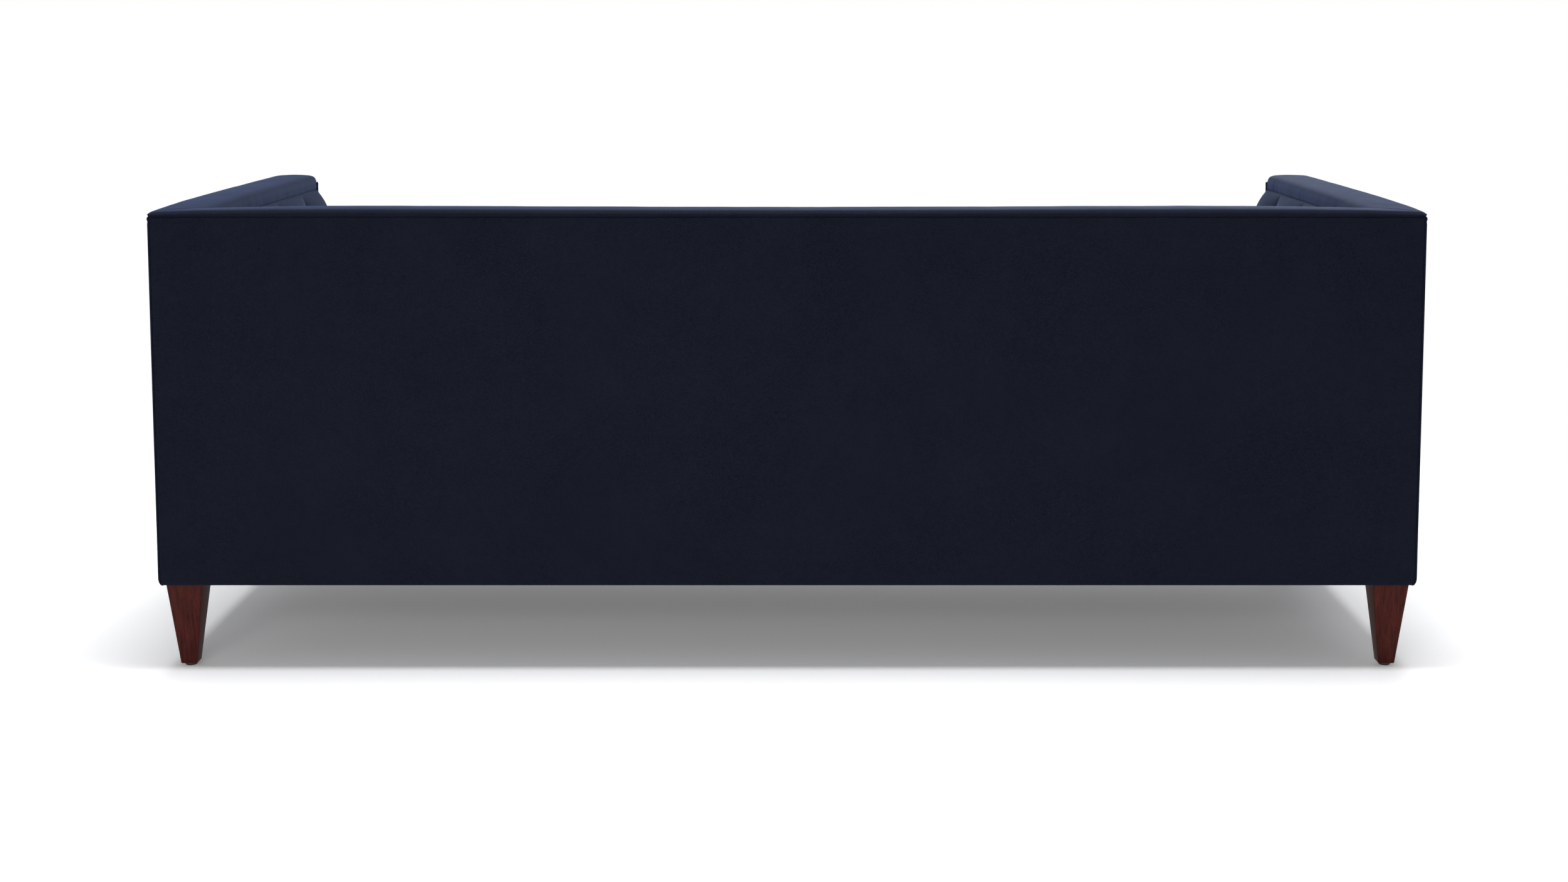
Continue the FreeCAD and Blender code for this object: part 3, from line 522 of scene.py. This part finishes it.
nose_columns = [(RUN_ARM - d, eased(d, NOSE)) for d in (9.0, 6.8, 4.8, 3.2, 1.9, 0.9, 0.25, 0.0)]
arm_run = MITRE_COLUMNS[:-1] + lines(MITRE_COLUMNS[-1], RUN_ARM - NOSE, 10)
arm_columns = [(d, 0.0) for d in arm_run[:-1]] + nose_columns
for side, word in SIDES:
    skin = cap_skin(arm_columns, lambda column, ring, s=side: arm_cap_point(column, ring, s))
    piece("arm_cap_cloth_" + word, skin, VELVET, ["arm_cap_" + word], crease=62)

# Tufted pads: folds drop from the seam to a button of the top row, cross to the row below and run on down
PITCH = 200.0
ROW_1, ROW_2 = 672.0 - PAD_TOP, 552.0 - PAD_TOP
# Thickness at a button and at the pads' edges, and how far from an edge a pad is full
FOLD_T, SEAM_T, FOOT_T = 13.0, 7, 6
TOP_REACH, FOOT_REACH, END_REACH = 78, 36, 24


def fold_gap(u, first):
    """How far u lies from the nearest of the folds at first and every pitch from it."""
    return abs((u - first + PITCH / 2) % PITCH - PITCH / 2)


def tufted(u, v, first, crown, seed):
    """How thick a pad stands at u along it and v above its seam, which is below 0. first is the u of a
    button of the top row."""
    one, two = fold_gap(u, first), fold_gap(u, first + PITCH / 2)
    if v >= ROW_1:
        away = one
    elif v <= ROW_2:
        away = two
    else:
        # between the rows, each fold leaves its button both ways, and the ridge between two is softened
        q = (v - ROW_1) / (ROW_2 - ROW_1)
        a, b = fold_gap(u - q * PITCH / 2, first), fold_gap(u + q * PITCH / 2, first)
        soft = 0.01 + 14 * min(1, 6 * q * (1 - q))
        near = max(soft - abs(a - b), 0) / soft
        away = min(a, b) - near * near * soft / 4
    away = max(away, 0)
    near = min(math.hypot(one, v - ROW_1), math.hypot(two, v - ROW_2))
    rise = math.sin(math.pi / 2 * min(1, away / (PITCH / 2))) ** 0.62
    dimple = 1 - math.exp(-(near / 20) ** 2.2)
    bed = FOLD_T + 8 * (1 - math.exp(-(near / 38) ** 2))
    thick = bed + (crown - bed) * rise * dimple
    # short pulls round each button, and the unevenness of hand-packed padding
    if one + abs(v - ROW_1) < two + abs(v - ROW_2):
        turn = math.atan2(v - ROW_1, (u - first + PITCH / 2) % PITCH - PITCH / 2)
    else:
        turn = math.atan2(v - ROW_2, (u - first) % PITCH - PITCH / 2)
    thick += 0.9 * math.exp(-((near - 24) / 15) ** 2) * math.sin(9 * turn + seed)
    return thick + (1.1 * waver(u + seed, v, 0, 70) + 0.5 * waver(u + seed, v, 50, 24)) * min(1, away / 25)


def thinned(thick, edge_t, share, power):
    """A thickness that falls to edge_t at an edge, where share is 0, on a round shoulder."""
    share = min(max(share, 0), 1.0)
    return edge_t + (thick - edge_t) * (1 - (1 - share) ** 2) ** power


def pad_thickness(u, v, first, crown, to_end, foot, seed):
    """How thick a pad stands with its edges drawn in to the seam, the foot and the open end."""
    thick = thinned(tufted(u, v, first, crown, seed), SEAM_T, -v / TOP_REACH, 0.75)
    # gathers under the cap's seam
    thick += 0.8 * math.exp(v / 10) * waver(u + seed, 0, 9, 11)
    thick = thinned(thick, FOOT_T, (v - foot) / FOOT_REACH, 0.5)
    return thinned(thick, SEAM_T, to_end(u) / END_REACH, 0.5)


def tucked(p, wall, lip):
    """The pad's wall, with its top run up behind the lip of the cap."""
    if p.z < PAD_TOP - 1:
        return wall
    return wall + lip


def pad(name, columns, foot, first, crown, to_end, put, wall, nodes, seed):
    """A tufted pad down to foot below its seam. to_end gives a column's distance from the open end, put
    takes a place and a thickness to a point, and wall takes a point of the rim to the wall behind it."""
    def place(u, v):
        return put(u, pad_thickness(u, v, first, crown, to_end, foot, seed), v)
    bm = cloth_grid(columns, lines(foot, 0, 5.5, (0.6, 1.8, 3.6)), place)
    made = piece(name, close_behind(bm, wall), VELVET, nodes, crease=70)


def slope_y(z):
    """The leaning plane behind the back pad, as its y at a height."""
    return 344.0 - (759 - z) * math.tan(SLOPE)


# Wall of the arm pads, their first fold, the crowns and ends of all pads, and their feet from the seam
ARM_WALL_X = 983.4
ARM_FOLD = -278.0
ARM_CROWN, BACK_CROWN = 41.8, 43.0
ARM_PAD_FRONT, ARM_PAD_REAR, BACK_PAD_END = -423, 342, 984
ARM_FOOT, BACK_FOOT = 262 - PAD_TOP, (281 - PAD_TOP) / math.cos(SLOPE)
arm_pad_columns = lines(ARM_PAD_FRONT, -338, 5, (0.8, 2.4)) + lines(-333, ARM_PAD_REAR, 5)
for side, word in SIDES:
    def on_arm(u, thick, v, side=side):
        y = min(u, slope_y(PAD_TOP + v) - 1.0)
        return Vector((side * (ARM_WALL_X - thick), y, PAD_TOP + v))

    def on_arm_wall(p, side=side):
        return tucked(p, Vector((side * ARM_WALL_X, p.y, p.z)), Vector((side * 1.2, 0, 4)))
    pad("inside_arm_cloth_" + word, arm_pad_columns, ARM_FOOT, ARM_FOLD, ARM_CROWN,
        lambda u: u - ARM_PAD_FRONT, on_arm, on_arm_wall, ["inside_arm_pad_" + word], 7.0 * side)

# Directions out of the back pad and up along it
OUT_OF_BACK = Vector((0, -math.cos(SLOPE), math.sin(SLOPE)))
UP_BACK = Vector((0, math.sin(SLOPE), math.cos(SLOPE)))


def on_back(u, thick, v):
    """A point u along the back, v up its slope from the seam, and thick out of its wall."""
    root = Vector((u, slope_y(PAD_TOP), PAD_TOP))
    return root + UP_BACK * v + OUT_OF_BACK * (thick - 0.4)


def on_back_wall(p):
    return tucked(p, Vector((p.x, slope_y(p.z), p.z)), Vector((0, 2.6, 3)))


pad("inside_back_cloth", lines(-BACK_PAD_END, BACK_PAD_END, 5, (0.8, 2.4)), BACK_FOOT, 0.0, BACK_CROWN,
    lambda u: BACK_PAD_END - abs(u), on_back, on_back_wall, ["inside_back_pad"], 3.0)


# Covered buttons and glides

def spun(line, steps):
    """The solid that a line of (radius, height) sweeps round the z axis, in mm."""
    made = bmesh.new()
    verts = [made.verts.new((r, 0, h)) for r, h in line]
    for a, b in zip(verts, verts[1:]):
        made.edges.new((a, b))
    bmesh.ops.spin(made, geom=made.verts[:] + made.edges[:], cent=(0, 0, 0), axis=(0, 0, 1), dvec=(0, 0, 0),
                   angle=2 * math.pi, steps=steps, use_merge=True, use_duplicate=False)
    bmesh.ops.remove_doubles(made, verts=made.verts, dist=0.001)
    return made


def join(bm, made):
    """Adds the bmesh made to bm, with its normals outwards."""
    bmesh.ops.recalc_face_normals(made, faces=made.faces)
    shell = bpy.data.meshes.new("shell")
    made.to_mesh(shell)
    made.free()
    bm.from_mesh(shell)
    bpy.data.meshes.remove(shell)


# A covered button has a domed top, a soft rim and a tapered back. It is seated this far out of the wall
# behind the pad.
BUTTON_R, BUTTON_SEAT = 12.0, 15.0
BUTTON_LINE = [(0.0, 9.6), (3.2, 9.4), (6.4, 8.6), (9.2, 7.0), (11.2, 4.8), (BUTTON_R, 2.8), (11.6, 1.2),
               (9.6, 0.2), (5.0, -0.6), (0.0, -0.9)]


def add_button(bm, put, seed):
    """Adds a button to bm, with seven small gathers round its rim. put takes its points to their place."""
    made = spun(BUTTON_LINE, 28)
    for vert in made.verts:
        turn = math.atan2(vert.co.y, vert.co.x)
        r = math.hypot(vert.co.x, vert.co.y)
        vert.co.z += 0.25 * (r / BUTTON_R) ** 2 * math.sin(7 * turn + seed)
        vert.co = put(vert.co)
    join(bm, made)


def button_rows(first, low, high):
    """Places of the buttons of both rows between low and high, as (u, v)."""
    spots = []
    for start, v in ((first, ROW_1), (first - PITCH / 2, ROW_2)):
        k = math.ceil((low - start) / PITCH)
        while start + k * PITCH <= high:
            spots.append((start + k * PITCH, v))
            k += 1
    return spots


for side, word in SIDES:
    bm = bmesh.new()
    for i, (u, v) in enumerate(button_rows(ARM_FOLD, -400, 240)):
        add_button(bm, lambda c, u=u, v=v: Vector((side * (ARM_WALL_X - BUTTON_SEAT - c.z), u + c.x * side,
                                                   PAD_TOP + v + c.y)), i)
    piece("arm_button_covers_" + word, bm, VELVET, ["arm_buttons_" + word], crease=0)
bm = bmesh.new()
for i, (u, v) in enumerate(button_rows(0.0, -920, 920)):
    add_button(bm, lambda c, u=u, v=v: on_back(u - c.x, 0, v) + UP_BACK * c.y
               + OUT_OF_BACK * (BUTTON_SEAT + c.z), i)
piece("back_button_covers", bm, VELVET, ["back_buttons"], crease=0)

# Legs: square and tapered, with eased edges, each on a round glide
LEG_X, LEG_Y = 1024.5, 389.5
LEG_HALF_TOP, LEG_HALF_FOOT = 30.5, 13.75
GLIDE_Z = 5.0
GLIDE_LINE = [(0, 0.0), (7.6, 0.0), (9.2, 0.5), (10.0, 1.6), (10.0, 3.6), (9.5, 4.6), (8.4, GLIDE_Z),
              (0, GLIDE_Z)]
glides = bmesh.new()
for sx, word_x in SIDES:
    for sy, word_y in ((1, "rear"), (-1, "front")):
        bm = bmesh.new()
        bmesh.ops.create_cube(bm, size=2.0)
        for vert in bm.verts:
            top = vert.co.z > 0
            half = LEG_HALF_TOP if top else LEG_HALF_FOOT
            vert.co = Vector((sx * LEG_X + vert.co.x * half, sy * LEG_Y + vert.co.y * half,
                              BODY_Z - 0.2 if top else GLIDE_Z))
        bmesh.ops.bevel(bm, geom=bm.edges[:], offset=1.9, affect="EDGES", segments=4, profile=0.5,
                        material=-1, clamp_overlap=True)
        bmesh.ops.subdivide_edges(bm, edges=[e for e in bm.edges if e.calc_length() > 90], cuts=8,
                                  use_grid_fill=True)
        for vert in bm.verts:
            vert.co.x += 0.12 * waver(vert.co.x, vert.co.y, vert.co.z, 40)
        piece("leg_%s_%s_turned" % (word_y, word_x), bm, BEECH, ["leg_%s_%s" % (word_y, word_x)],
              crease=40)
        made = spun(GLIDE_LINE, 40)
        bmesh.ops.translate(made, vec=(sx * LEG_X, sy * LEG_Y, 0), verts=made.verts)
        join(glides, made)
piece("nylon_glides", glides, NYLON, ["leg_glides"], crease=40)

# Deck under the cushions. In front of its seam it is velvet, which shows if a cushion shifts.
DECK_SIDE, DECK_FRONT, DECK_REAR, DECK_FOOT = 960.0, -422.8, 266.0, 284.0
LIP_SEAM = -310.0


def deck_point(x, y):
    """A point of the deck, rounded at its edges and drawn down along the seam of its lip."""
    edge = min(DECK_SIDE - abs(x), y - DECK_FRONT, DECK_REAR - y)
    z = DECK_Z - 0.4 - eased(edge, 4) + 1.2 * waver(x, y, 0, 120) * min(1, max(edge, 0) / 30) - 1.0
    seam = abs(y - LIP_SEAM)
    return Vector((x, y, z - 2.2 * math.exp(-(seam / 2.5) ** 2) - math.exp(-(seam / 12) ** 2)))


deck_rows = [y for y in lines(DECK_FRONT, DECK_REAR, 14, EDGE[:6]) if abs(y - LIP_SEAM) > 8]
deck_rows = sorted(deck_rows + [LIP_SEAM + d for d in (-8, -5, -3, -1.5, 0, 1.5, 3, 5, 8)])
bm = cloth_grid(lines(-DECK_SIDE, DECK_SIDE, 14, EDGE[:6]), deck_rows, deck_point)
deck = piece("deck_cloth_pad", close_behind(bm, lambda p: Vector((p.x, p.y, DECK_FOOT))), DECK_CLOTH,
             ["deck_pad"])
deck.data.materials.append(VELVET)
for polygon in deck.data.polygons:
    polygon.material_index = 1 if polygon.center.y < LIP_SEAM * MM else 0


# Dust cover: half its sides, and its height where it is stapled under the frame
DUST_X, DUST_Y, DUST_Z = 1057.5, 422.5, 147.9


def dust_point(x, y):
    """A point of the dust cover, which sags in its middle and puckers along its edge."""
    edge = min(DUST_X + 0.5 - abs(x), DUST_Y + 0.5 - abs(y))
    sag = 1.6 * min(1, max(edge - 20, 0) / 200) + 0.35 * math.exp(-edge / 30) * waver(x, y, 3, 22)
    return Vector((x, y, DUST_Z - sag))


bm = cloth_grid(lines(-DUST_X, DUST_X, 16), lines(-DUST_Y, DUST_Y, 14), dust_point)
bmesh.ops.reverse_faces(bm, faces=bm.faces)
cambric = piece("dust_cover_cambric", bm, CAMBRIC, ["dust_cover"], crease=0)
thickness = cambric.modifiers.new("thickness", "SOLIDIFY")
thickness.thickness, thickness.offset = 0.0004, -1

# Cushions: half their width and the step from one to the next, their front and rear, the heights of their
# seams, of their middle and of the deck under them, the corners in plan, and the radius of the welt
HALF_W, CUSH_FRONT, CUSH_REAR = 313.3, -429.0, 240.3
CUSH_STEP = 627.0
HALF_D = (CUSH_REAR - CUSH_FRONT) / 2
CUSH_Y = (CUSH_REAR + CUSH_FRONT) / 2
LOW_SEAM, HIGH_SEAM, CUSH_MID, CUSH_FOOT = 322.0, 449.0, 386.3, 311.8
CORNER_R, WELT_CORNER_R, WELT_R = 22, 23, 2.6
# The cover starts this much inside its full size, its boxing bulges, its top and underside are crowned, and
# the filling moves no point by more than the last of these
COVER_INSET, BOX_BULGE, TOP_CROWN, LOW_CROWN, MOST_MOVE = 5.7, 5.5, 10.5, 10.0, 16.0
# The most that a cushion rises above its middle
CUSH_RISE = 77.5


def in_plan(x, y, half_x, half_y, radius):
    """Takes a point of a square, -1 to 1 each way, to a rectangle with rounded corners."""
    t = max(abs(x), abs(y))
    px, py = x * half_x, y * half_y
    r = radius * t
    cx, cy = half_x * t - r, half_y * t - r
    dx, dy = abs(px) - cx, abs(py) - cy
    if dx > 0 and dy > 0:
        scale = max(dx, dy) / math.hypot(dx, dy)
        px, py = math.copysign(cx + dx * scale, px), math.copysign(cy + dy * scale, py)
    return px, py


def cushion_start():
    """A boxed cushion as a grid of quads, before it is filled. Its layer seam is 1 on the seams, 2 on the
    underside and 0 elsewhere."""
    bm = bmesh.new()
    bmesh.ops.create_cube(bm, size=2.0)
    for axis, cuts in ((0, 43), (1, 45), (2, 9)):
        edges = [e for e in bm.edges if abs((e.verts[1].co - e.verts[0].co)[axis]) > 1e-4]
        bmesh.ops.subdivide_edges(bm, edges=edges, cuts=cuts, use_grid_fill=True)
    seam = bm.verts.layers.int.new("seam")
    for vert in bm.verts:
        x, y, h = vert.co
        side = max(abs(x), abs(y)) > 0.9999
        bulge = BOX_BULGE * (1 - h * h) if side else 0.0
        px, py = in_plan(x, y, HALF_W - COVER_INSET + bulge, HALF_D - COVER_INSET + bulge, CORNER_R)
        z = (LOW_SEAM + HIGH_SEAM) / 2 + h * (HIGH_SEAM - LOW_SEAM) / 2
        if abs(h) > 0.9999:
            t = (1 - abs(x) ** 3.0) * (1 - abs(y) ** 3.0)
            z += TOP_CROWN * t ** 0.55 if h > 0 else -LOW_CROWN * min(1, t * 4) ** 0.6
        if side and abs(h) > 0.9999:
            vert[seam] = 1
        elif h < -0.9999:
            vert[seam] = 2
        vert.co = Vector((px, py + CUSH_Y, z))
    return bm


def filled_cushion():
    """A cushion whose cover has been blown out by its filling, in mm. Its seams and underside are held."""
    bm = cushion_start()
    seam = bm.verts.layers.int.active
    marks = [vert[seam] for vert in bm.verts]
    for vert in bm.verts:
        vert.co += Vector((0, 0, 0.5 * waver(vert.co.x, vert.co.y, vert.co.z, 40)))
        if vert[seam] == 0:
            vert.co += vert.normal * 0.8 * waver(vert.co.x, vert.co.y, vert.co.z, 24)
    start = [vert.co.copy() for vert in bm.verts]
    bmesh.ops.scale(bm, vec=(MM, MM, MM), verts=bm.verts)
    mesh = bpy.data.meshes.new("filling")
    bm.to_mesh(mesh)
    bm.free()
    bag = bpy.data.objects.new("filling", mesh)
    bpy.context.scene.collection.objects.link(bag)
    held = bag.vertex_groups.new(name="held")
    held.add([i for i, m in enumerate(marks) if m], 1.0, "ADD")
    cloth = bag.modifiers.new("cloth", "CLOTH")
    settings = cloth.settings
    settings.quality = 6
    settings.mass = 0.25
    settings.tension_stiffness = settings.compression_stiffness = 18
    settings.shear_stiffness = 6
    settings.bending_stiffness = 0.6
    settings.tension_damping = settings.compression_damping = 12
    settings.vertex_group_mass = "held"
    settings.shrink_min = -0.022
    settings.use_pressure = True
    settings.uniform_pressure_force = 3.6
    settings.effector_weights.gravity = 0.0
    cloth.collision_settings.use_collision = False
    cloth.collision_settings.use_self_collision = False
    scene = bpy.context.scene
    for step in range(1, 22):
        scene.frame_set(step)
    graph = bpy.context.evaluated_depsgraph_get()
    blown = bag.evaluated_get(graph).to_mesh()
    points = [v.co / MM for v in blown.vertices]
    bag.evaluated_get(graph).to_mesh_clear()
    scene.frame_set(1)
    bpy.data.objects.remove(bag)
    bm = bmesh.new()
    bm.from_mesh(mesh)
    bpy.data.meshes.remove(mesh)
    for vert, here, there in zip(bm.verts, start, points):
        move = there - here
        if move.length > MOST_MOVE:
            move *= MOST_MOVE / move.length
        vert.co = here + move
    return bm


def soft_limit(value, limit, give=3.0):
    """A value held within a limit either way, with a soft start over the last give mm."""
    over = abs(value) - (limit - give)
    if over <= 0:
        return value
    return math.copysign(limit - give + give * (1 - math.exp(-over / give)), value)


def pressed(point):
    """Keeps a point of a cushion clear of its neighbours, the pads and the deck, and under its height."""
    x = soft_limit(point.x, HALF_W - 0.1)
    y = CUSH_Y + soft_limit(point.y - CUSH_Y, HALF_D - 0.1)
    if point.z > CUSH_MID:
        z = CUSH_MID + soft_limit(point.z - CUSH_MID, CUSH_RISE, 2.0)
    else:
        z = CUSH_MID + soft_limit(point.z - CUSH_MID, CUSH_MID - CUSH_FOOT, 0.5)
    return Vector((x, y, z))


def welt_line(z):
    """The line of the seam at height z round a cushion that stands in the middle."""
    spots = []
    count = 46
    for sx, sy, ex, ey in ((-1, -1, 1, -1), (1, -1, 1, 1), (1, 1, -1, 1), (-1, 1, -1, -1)):
        for i in range(count):
            t = i / count
            x, y = in_plan(sx + (ex - sx) * t, sy + (ey - sy) * t, HALF_W - 3.6, HALF_D - 3.6,
                           WELT_CORNER_R)
            spots.append(Vector((x, y + CUSH_Y, z + 0.25 * waver(x, y, z, 20))))
    return spots


def welts(name, centre, body):
    """Two welts of covered piping, sewn in along the seams."""
    path = bpy.data.curves.new(name, "CURVE")
    path.dimensions = "3D"
    path.bevel_depth, path.bevel_resolution = WELT_R * MM, 4
    for z in (LOW_SEAM, HIGH_SEAM):
        line = path.splines.new("POLY")
        spots = welt_line(z)
        line.points.add(len(spots) - 1)
        for spot, p in zip(line.points, spots):
            spot.co = ((p.x + centre) * MM, p.y * MM, p.z * MM, 1)
        line.use_cyclic_u = True
    holder = bpy.data.objects.new(name + "_path", path)
    mesh = bpy.data.meshes.new_from_object(holder)
    bpy.data.objects.remove(holder)
    bm = bmesh.new()
    bm.from_mesh(mesh)
    bpy.data.meshes.remove(mesh)
    bmesh.ops.recalc_face_normals(bm, faces=bm.faces)
    bmesh.ops.scale(bm, vec=(1 / MM, 1 / MM, 1 / MM), verts=bm.verts)
    piece(name, bm, VELVET, (), body, crease=0)


source = filled_cushion()
# turn mirrors the middle cushion, so that neighbours don't look alike
for centre, word, turn in ((CUSH_STEP, "left", 1), (0.0, "centre", -1), (-CUSH_STEP, "right", 1)):
    bm = source.copy()
    for vert in bm.verts:
        p = pressed(Vector((vert.co.x * turn, vert.co.y, vert.co.z)))
        p.z += 0.5 * waver(p.x + centre, p.y, 9, 90) if p.z > HIGH_SEAM + 3 else 0.0
        vert.co = Vector((p.x + centre, p.y, p.z))
    bmesh.ops.recalc_face_normals(bm, faces=bm.faces)
    made = piece("seat_cushion_" + word, bm, VELVET, ["cushion_cover_" + word], "cushion_" + word, crease=0,
                 subdivide=1)
    welts("cushion_welts_" + word, centre, "cushion_" + word)
source.free()

# Floor, backdrop and light

def seen_directly(tree):
    """1 for what the camera sees, straight or in a glossy or clear surface, and 0 for light on the sofa."""
    seen = add(tree, "LightPath", {}, "Is Camera Ray")
    for ray in ("Is Glossy Ray", "Is Transmission Ray"):
        seen = add(tree, "Math", {0: seen, 1: add(tree, "LightPath", {}, ray)}, operation="MAXIMUM")
    return seen


# Light bounces off a pale grey floor. What is seen of it is brighter and takes the shadow, and from 1.5 to
# 2.4 m away it turns into the plain white of the backdrop.
WHITE = (1, 1, 1, 1)
floor_finish, tree, where = blank("pale_floor")
matt = add(tree, "BsdfDiffuse", {"Color": linear("#e6e6e6")})
bright = add(tree, "BsdfDiffuse", {"Color": WHITE})
lift = add(tree, "Emission", {"Color": WHITE, "Strength": 0.12})
near = add(tree, "AddShader", {0: bright, 1: lift})
far = add(tree, "Emission", {"Color": WHITE, "Strength": 1.0})
reach = add(tree, "VectorMath", {0: where}, "Value", operation="LENGTH")
fade = add(tree, "MapRange", {"Value": reach, "From Min": 1.5, "From Max": 2.4})
both = add(tree, "MixShader", {0: fade, 1: near, 2: far})
seen = add(tree, "MixShader", {0: seen_directly(tree), 1: matt, 2: both})
add(tree, "OutputMaterial", {"Surface": seen})
bm = bmesh.new()
bmesh.ops.create_grid(bm, x_segments=4, y_segments=4, size=20.0)
ground = bpy.data.meshes.new("floor")
bm.to_mesh(ground)
bm.free()
ground.materials.append(floor_finish)
floor = bpy.data.objects.new("floor", ground)
bpy.context.scene.collection.objects.link(floor)

world = bpy.data.worlds.new("studio")
bpy.context.scene.world = world
world.use_nodes = True
tree = world.node_tree
tree.nodes.clear()
dim = add(tree, "Background", {"Color": (0.93, 0.95, 1.0, 1), "Strength": 0.28})
white = add(tree, "Background", {"Color": WHITE, "Strength": 1.0})
sky = add(tree, "MixShader", {0: seen_directly(tree), 1: dim, 2: white})
add(tree, "OutputWorld", {"Surface": sky})


def softbox(name, place, aim, wide, high, power):
    """A rectangular lamp at a place in metres, turned to its aim, with its power in watts."""
    light = bpy.data.lights.new(name, "AREA")
    light.shape, light.size, light.size_y, light.energy = "RECTANGLE", wide, high, power
    made = bpy.data.objects.new(name, light)
    made.location = place
    made.rotation_euler = (Vector(aim) - Vector(place)).to_track_quat("-Z", "Y").to_euler()
    bpy.context.scene.collection.objects.link(made)


softbox("overhead", (0.0, 0.0, 4.2), (0, 0, 0), 3.4, 2.4, 270)
softbox("behind_sofa", (0.9, 4.6, 1.5), (0, 0, 0.4), 2.6, 1.2, 62)
softbox("before_sofa", (-1.4, -4.6, 2.2), (0, 0, 0.4), 2.6, 1.6, 100)
bpy.context.scene.view_settings.view_transform = "Standard"
